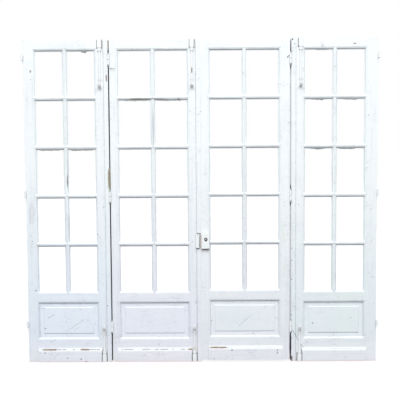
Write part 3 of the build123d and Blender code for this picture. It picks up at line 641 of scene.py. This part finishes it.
finishes = {
    "upright timber": old_paint(
        "upright_timber_paint", "up",
        marks=stile_marks, outlined=bolt_guides, lines=thin_crack + strip_lines,
    ),
    "level timber": old_paint(
        "level_timber_paint", "level",
        marks=rail_marks, scratched=0.3, lines=rail_scratches + thin_crack,
    ),
    "plinth": old_paint(
        "plinth_paint", "level",
        marks=plinth_marks, scratched=0.3, flaked=flaked_tops, outlined=bolt_guides,
    ),
    "bars": old_paint("glazing_bar_paint", "bars", dirt_and_painted_shade=0.8, marks=bar_marks),
    "panel": old_paint(
        "panel_paint", "level", panel_white,
        wear=0.2, moulded=False, marks=panel_marks, lines=panel_scratches,
    ),
    "hinge": painted_metal("painted_hinge_iron", 0.55),
    "bolt": painted_metal("painted_bolt_iron", 0.45, bolt_white, 0.95, rod_marks, knobs=True),
    "lock": painted_metal("painted_lock_iron", 0.45, marks=lock_marks),
    "inside": old_iron("bare_lock_iron"),
    "glass": window_glass("old_window_glass"),
    "putty": old_paint("old_putty", "level", putty_grey, dirt_and_painted_shade=0.6, wear=0.75),
    "dark putty and painted shade": old_paint("dark_putty_and_painted_shade", "level", painted_shade_putty_black, dirt_and_painted_shade=0.5, wear=0.9),
    "bare edge": old_paint("bare_olive_edge", "up", edge_olive, dirt_and_painted_shade=0.3, wear=0.9),
    "rusty nail": painted_metal("rusty_nail", 1.0, nail_rust, 0.6),
}
endings = {
    "_glass": "glass",
    "_glazing_bars": "bars",
    "_plinth_board": "plinth",
    "_rail": "level timber",
    "_panel": "panel",
}


def finish_of(name):
    """The finish of a solid, by its name."""
    for ending, finish in endings.items():
        if name.endswith(ending):
            return finish
    if "hinge" in name:
        return "hinge"
    if name in ("lock_case", "lock_keeper"):
        return "lock"
    if name.startswith("lock_"):
        return "inside"
    if "bolt" in name:
        return "bolt"
    return "upright timber"


for name, solid in nodes.items():
    solid.data.materials.clear()
    solid.data.materials.append(finishes[finish_of(name)])
    solid.visible_shadow = not name.endswith("_glass")


# Pieces beside the solids

def place_piece(name, shape, finish, body):
    """Makes an object of the shape, which rides on a body."""
    bmesh.ops.recalc_face_normals(shape, faces=shape.faces)
    mesh = bpy.data.meshes.new(name)
    shape.to_mesh(mesh)
    shape.free()
    mesh.materials.append(finishes[finish])
    piece = bpy.data.objects.new(name, mesh)
    scene.collection.objects.link(piece)
    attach(piece, body)


def panes(leaf):
    """Left, right, low and high sight edge of each pane."""
    low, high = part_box(f"{leaf}_glass")
    left, right = low[0] + glass_reach, high[0] - glass_reach
    sill, head = low[2] + glass_reach, high[2] - glass_reach
    width = (right - left - bar_width) / 2
    plain = (head - sill - bottom_row_extra - (pane_rows - 1) * bar_width) / pane_rows
    for row in range(pane_rows):
        height = plain + bottom_row_extra if row == 0 else plain
        for x in (left, right - width):
            yield x, x + width, sill, sill + height
        sill += height + bar_width


def sized_block(shape, centre, size):
    """Box of a size round its centre."""
    place = Matrix.Translation(centre) @ Matrix.Diagonal((*size, 1))
    return bmesh.ops.create_cube(shape, size=1, matrix=place)["verts"]


putty_width = 0.0074
putty_depth = 0.011
putty_clearance = 0.0002


def add_putty(shape, left, right, low, high):
    """Triangular fillet round one pane, from the back of the glass out to the rebate."""
    reach = rebate_width - putty_clearance
    size = (right - left + 2 * reach, putty_depth, high - low + 2 * reach)
    centre = ((left + right) / 2, glass_back + putty_depth / 2, (low + high) / 2)
    verts = sized_block(shape, centre, size)
    faces = {face for vert in verts for face in vert.link_faces}
    rear = max(faces, key=lambda face: face.calc_center_median().y)
    glass_side = min(faces, key=lambda face: face.calc_center_median().y)
    bmesh.ops.inset_region(shape, faces=[rear], thickness=putty_width, depth=-putty_depth)
    rims = list(rear.edges) + list(glass_side.edges)
    bmesh.ops.delete(shape, geom=[rear, glass_side], context="FACES_ONLY")
    bmesh.ops.bridge_loops(shape, edges=rims)


def hand_worked(shape):
    """Divides long edges and moves the points a little, as a putty knife leaves them."""
    long_edges = [edge for edge in shape.edges if edge.calc_length() > 0.1]
    bmesh.ops.subdivide_edges(shape, edges=long_edges, cuts=7, use_grid_fill=True)
    for vert in shape.verts:
        if vert.co.y > glass_back + 0.001:
            vert.co += noise.noise_vector(vert.co * 60) * 0.0007


# Noise vectors are drawn from the clock unless they have a seed
noise.seed_set(1)
for leaf, body in leaf_bodies.items():
    putty = bmesh.new()
    for edges in panes(leaf):
        add_putty(putty, *edges)
    hand_worked(putty)
    place_piece(f"{leaf}_putty", putty, "putty", body)


def ragged_strip(left, right, top, drop, depth, thickness, seed):
    """Dark ragged strip hanging along the underside of a bar, drawn as old putty, which paints the
    shade there.
    """
    strip = bmesh.new()
    count = max(6, int((right - left) / 0.006))
    upright = Matrix.Rotation(math.radians(90), 4, "X")
    bmesh.ops.create_grid(strip, x_segments=count, y_segments=3, size=0.5, matrix=upright)
    for vert in strip.verts:
        along = vert.co.x + 0.5
        down = 0.5 - vert.co.z
        torn = abs(noise.noise(Vector((along * count * 0.35, seed, 0))))
        ragged = 0.35 + 0.65 * torn * 1.8
        ends = min(1, along * 6, (1 - along) * 6)
        vert.co.x = left + along * (right - left)
        vert.co.z = top - down * drop * ragged * ends
        vert.co.y = depth + 0.0012 * noise.noise(Vector((along * count * 0.5, down * 3, seed)))
    bmesh.ops.solidify(strip, geom=strip.faces[:], thickness=thickness)
    return strip


shade_strip_depth = front + 0.0185
shade_strip_thickness = 0.0014
head_underside = 2.1725
top_bar = 1.8335
second_bar = 1.4945

# Name, body, left and right end, underside and drop of the dark strips of putty and painted shade
# under heads and bars
under_bar_shade_strips = (
    ("left_outer_second_bar_remnant", "outer_leaves", -0.916, -0.740, second_bar, 0.010),
    ("left_outer_second_bar_left_remnant", "outer_leaves", -1.136, -0.966, second_bar, 0.006),
    ("left_outer_head_remnant", "outer_leaves", -0.828, -0.776, head_underside, 0.014),
    ("left_inner_top_bar_remnant", "left_inner_leaf", -0.545, -0.352, top_bar, 0.005),
    ("left_inner_top_bar_right_remnant", "left_inner_leaf", -0.310, -0.120, top_bar, 0.005),
    ("right_outer_top_bar_remnant", "outer_leaves", 0.760, 0.860, top_bar, 0.007),
    ("right_outer_top_bar_right_remnant", "outer_leaves", 0.985, 1.090, top_bar, 0.007),
    ("right_outer_second_bar_remnant", "outer_leaves", 0.750, 0.870, second_bar, 0.008),
    ("right_outer_second_bar_right_remnant", "outer_leaves", 0.950, 1.085, second_bar, 0.009),
    ("right_outer_head_remnant", "outer_leaves", 0.790, 0.890, head_underside, 0.006),
)
for seed, (name, body, left, right, top, drop) in enumerate(under_bar_shade_strips, 1):
    strip = ragged_strip(left, right, top, drop, shade_strip_depth, shade_strip_thickness, seed)
    place_piece(name, strip, "dark putty and painted shade", body)


def edge_filler(name, left, right, low, high, ragged_side, finish):
    """Paint and filler built up on the edge of an outer leaf, which narrows the joint."""
    shape = bmesh.new()
    depth, height = 0.020, high - low
    middle = (left + right) / 2
    centre = (middle, front + 0.004 + depth / 2, (low + high) / 2)
    sized_block(shape, centre, (right - left, depth, height))
    upright = [edge for edge in shape.edges if edge.calc_length() > 0.1]
    cuts = int(height / 0.01)
    bmesh.ops.subdivide_edges(shape, edges=upright, cuts=cuts, use_grid_fill=True)
    for vert in shape.verts:
        if (vert.co.x - middle) * ragged_side > 0:
            eaten = abs(noise.noise(Vector((3, vert.co.y * 40, vert.co.z * 35))))
            vert.co.x -= ragged_side * 0.0020 * eaten
            vert.co.y += 0.0015 * noise.noise(Vector((7, 0, vert.co.z * 30)))
    place_piece(name, shape, finish, "outer_leaves")


# Name, left, right, low, high, the side that is ragged, and finish
fillers = (
    ("right_fold_edge_filler_low", 0.6207, 0.6264, 0.295, 1.100, -1, "upright timber"),
    ("right_fold_edge_filler_high", 0.6207, 0.6264, 1.240, 2.045, -1, "upright timber"),
    ("left_fold_bare_edge", -0.6364, -0.6305, 1.215, 1.365, 1, "bare edge"),
    ("left_fold_bare_edge_top", -0.6364, -0.6312, 2.180, 2.245, 1, "bare edge"),
)
for filler in fillers:
    edge_filler(*filler)


def screw_head(shape, matrix, radius, height, slot=True):
    """Slotted head, bevelled at the rim, with its axis along the matrix's Z."""
    head = bmesh.new()
    bmesh.ops.create_cone(
        head, cap_ends=True, segments=16, radius1=radius, radius2=radius, depth=height,
        matrix=Matrix.Translation((0, 0, height / 2)),
    )
    rim = [edge for edge in head.edges if all(vert.co.z > height * 0.9 for vert in edge.verts)]
    bmesh.ops.bevel(
        head, geom=rim, offset=height * 0.45, segments=2, affect="EDGES", profile=0.5, material=-1,
    )
    if slot:
        half_slot = radius * 0.13
        for x in (-half_slot, half_slot):
            cut = head.verts[:] + head.edges[:] + head.faces[:]
            bmesh.ops.bisect_plane(head, geom=cut, plane_co=(x, 0, 0), plane_no=(1, 0, 0))
        slot_faces = [
            face for face in head.faces
            if face.normal.z > 0.9 and abs(face.calc_center_median().x) < half_slot
        ]
        sunk = bmesh.ops.extrude_face_region(head, geom=slot_faces)["geom"]
        lowered = [part for part in sunk if isinstance(part, bmesh.types.BMVert)]
        bmesh.ops.translate(head, verts=lowered, vec=(0, 0, -height * 0.6))
        bmesh.ops.delete(head, geom=slot_faces, context="FACES_ONLY")
    bmesh.ops.transform(head, matrix=matrix, verts=head.verts)
    bmesh.ops.recalc_face_normals(head, faces=head.faces)
    mesh = bpy.data.meshes.new("head")
    head.to_mesh(mesh)
    head.free()
    shape.from_mesh(mesh)
    bpy.data.meshes.remove(mesh)


def facing(direction, turn_degrees=0):
    """Rotation that turns a head's axis from Z to a direction, with its slot at an angle."""
    out = Vector(direction).to_track_quat("Z", "X").to_matrix().to_4x4()
    return out @ Matrix.Rotation(math.radians(turn_degrees), 4, "Z")


to_front = (0, -1, 0)


def heads(name, body, finish, points, radius, height, slot=True):
    """One piece with a head at each point of the front, each turned a little further."""
    shape = bmesh.new()
    for number, point in enumerate(points):
        matrix = Matrix.Translation(point) @ facing(to_front, 37 * number)
        screw_head(shape, matrix, radius, height, slot)
    place_piece(name, shape, finish, body)


nail_inset = 0.014
nail_rises = (0.018, 0.062)
for leaf, body in leaf_bodies.items():
    low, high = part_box(f"{leaf}_plinth_board")
    points = [
        (x, low[1], low[2] + rise)
        for x in (low[0] + nail_inset, high[0] - nail_inset) for rise in nail_rises
    ]
    heads(
        f"{leaf}_plinth_nails", body, "upright timber", points,
        radius=0.0032, height=0.0007, slot=False,
    )

strips = {
    "left_outer_cover_and_stop_strips": "outer_leaves",
    "left_inner_cover_strip": "left_inner_leaf",
    "right_outer_cover_and_stop_strips": "outer_leaves",
}
strip_nail_heights = (0.09, 0.42, 0.74, 1.34, 1.70, 2.03, 2.21)
for name, body in strips.items():
    low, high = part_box(name)
    on_right = name.startswith("right")
    nail_x = high[0] - strip_width / 2 if on_right else low[0] + strip_width / 2
    points = [(nail_x, low[1], z) for z in strip_nail_heights]
    heads(
        f"{name}_nails", body, "upright timber", points,
        radius=0.003, height=0.0005, slot=False,
    )

case_corners = [(x, lock_front, z) for x in (0.0084, 0.0484) for z in (0.809, 0.901)]
keeper_ends = [(-0.0265, lock_front, z) for z in (0.811, 0.899)]
heads("lock_case_screws", "right_inner_leaf", "lock", case_corners, 0.003, 0.0008)
heads("keeper_screws", "left_inner_leaf", "lock", keeper_ends, 0.003, 0.0008)


def bent_nail(name, body, x, z):
    """Rusty nail that comes out of the stile and is bent over to the right."""
    shape = bmesh.new()
    start = Matrix.Translation((x, front + 0.004, z)) @ facing(to_front)
    bmesh.ops.create_circle(shape, segments=10, radius=0.0016, matrix=start)
    loop = shape.edges[:]
    # To the right, out and up, and the turn of the ring in degrees
    runs = (
        (0.0, -0.009, 0.0, 0),
        (0.004, -0.004, 0.0, 45),
        (0.012, -0.001, 0.001, 45),
        (0.020, -0.0005, -0.003, 0),
    )
    for right, out, up, turned in runs:
        grown = bmesh.ops.extrude_edge_only(shape, edges=loop)["geom"]
        verts = [part for part in grown if isinstance(part, bmesh.types.BMVert)]
        loop = [
            part for part in grown
            if isinstance(part, bmesh.types.BMEdge) and all(vert in verts for vert in part.verts)
        ]
        bmesh.ops.translate(shape, verts=verts, vec=(right, out, up))
        centre = sum((vert.co for vert in verts), Vector()) / len(verts)
        spin = Matrix.Rotation(math.radians(turned), 3, "Z")
        bmesh.ops.rotate(shape, verts=verts, cent=centre, matrix=spin)
    bmesh.ops.holes_fill(shape, edges=shape.edges[:], sides=0)
    place_piece(name, shape, "rusty nail", body)


bent_nail("bent_nail", "left_inner_leaf", -0.621, 2.052)


# Floor, light and background

pure_white = (1, 1, 1, 1)
lighting_grey = (0.42, 0.42, 0.42, 1)
shadow_grey = (0.16, 0.16, 0.16, 1)
near_lift = (0.84, 0.84, 0.84, 1)
light_from_side = (0.2666, 0.2883, 0.3100, 1)
light_from_above = (0.8213, 0.8882, 0.9550, 1)


def seen_directly(f):
    """1 for what the camera, a reflection or glass shows, and 0 for what lights the doors."""
    seen = f.node("ShaderNodeLightPath", {}, {}, "Is Camera Ray")
    for ray in ("Is Glossy Ray", "Is Transmission Ray"):
        seen = seen.larger(f.node("ShaderNodeLightPath", {}, {}, ray))
    return seen


def floor_paint():
    """Pale floor that is lifted to white where it is seen, and keeps the doors' shadow."""
    f = Finish("pale_floor")
    lighting = f.node("ShaderNodeBsdfDiffuse", {}, {"Color": lighting_grey})
    shown = f.node("ShaderNodeBsdfDiffuse", {}, {"Color": shadow_grey})
    away = f.node("ShaderNodeVectorMath", {"operation": "LENGTH"}, {0: f.place}, "Value")
    lift = f.blend(f.step(away, 1.6, 4.0), near_lift, pure_white)
    glow = f.node("ShaderNodeEmission", {}, {"Color": lift, "Strength": 1.0})
    white = f.node("ShaderNodeAddShader", {}, {0: shown, 1: glow})
    return f.finish(f.node("ShaderNodeMixShader", {}, {0: seen_directly(f), 1: lighting, 2: white}))


floor_radius = 40
floor_drop = 0.0005
floor_mesh = bpy.data.meshes.new("floor")
floor_shape = bmesh.new()
bmesh.ops.create_circle(floor_shape, cap_ends=True, segments=96, radius=floor_radius)
bmesh.ops.translate(floor_shape, verts=floor_shape.verts, vec=(0, 0, -floor_drop))
floor_shape.to_mesh(floor_mesh)
floor_shape.free()
floor = bpy.data.objects.new("floor", floor_mesh)
floor_mesh.materials.append(floor_paint())
scene.collection.objects.link(floor)

scene.world = bpy.data.worlds.new("studio")
sky = Finish("studio", scene.world, "ShaderNodeOutputWorld")
direction = sky.node("ShaderNodeTexCoord", {}, {}, "Generated")
height = sky.node("ShaderNodeSeparateXYZ", {}, {0: direction}, "Z").larger(0.0)
daylight = sky.blend(height, light_from_side, light_from_above)
ambient = sky.node("ShaderNodeBackground", {}, {"Color": daylight, "Strength": 1.0})
backdrop = sky.node("ShaderNodeBackground", {}, {"Color": pure_white, "Strength": 1.0})
sky.finish(sky.node("ShaderNodeMixShader", {}, {0: seen_directly(sky), 1: ambient, 2: backdrop}))


def soft_box(name, place, aim, width, height, power):
    """Rectangular studio lamp, turned towards a point."""
    data = bpy.data.lights.new(name, "AREA")
    data.shape = "RECTANGLE"
    data.size = width
    data.size_y = height
    data.energy = power
    lamp = bpy.data.objects.new(name, data)
    lamp.location = place
    lamp.rotation_euler = (Vector(aim) - Vector(place)).to_track_quat("-Z", "Y").to_euler()
    lamp.visible_camera = False
    lamp.visible_transmission = False
    scene.collection.objects.link(lamp)


soft_box("overhead_front", (0.15, -6.2, 7.0), (0, 0, 1.2), width=8.0, height=4.5, power=543)
soft_box("rear_fill", (0.8, 3.4, 3.6), (0, 0, 1.1), width=4.0, height=2.5, power=60)

bpy.context.view_layer.update()
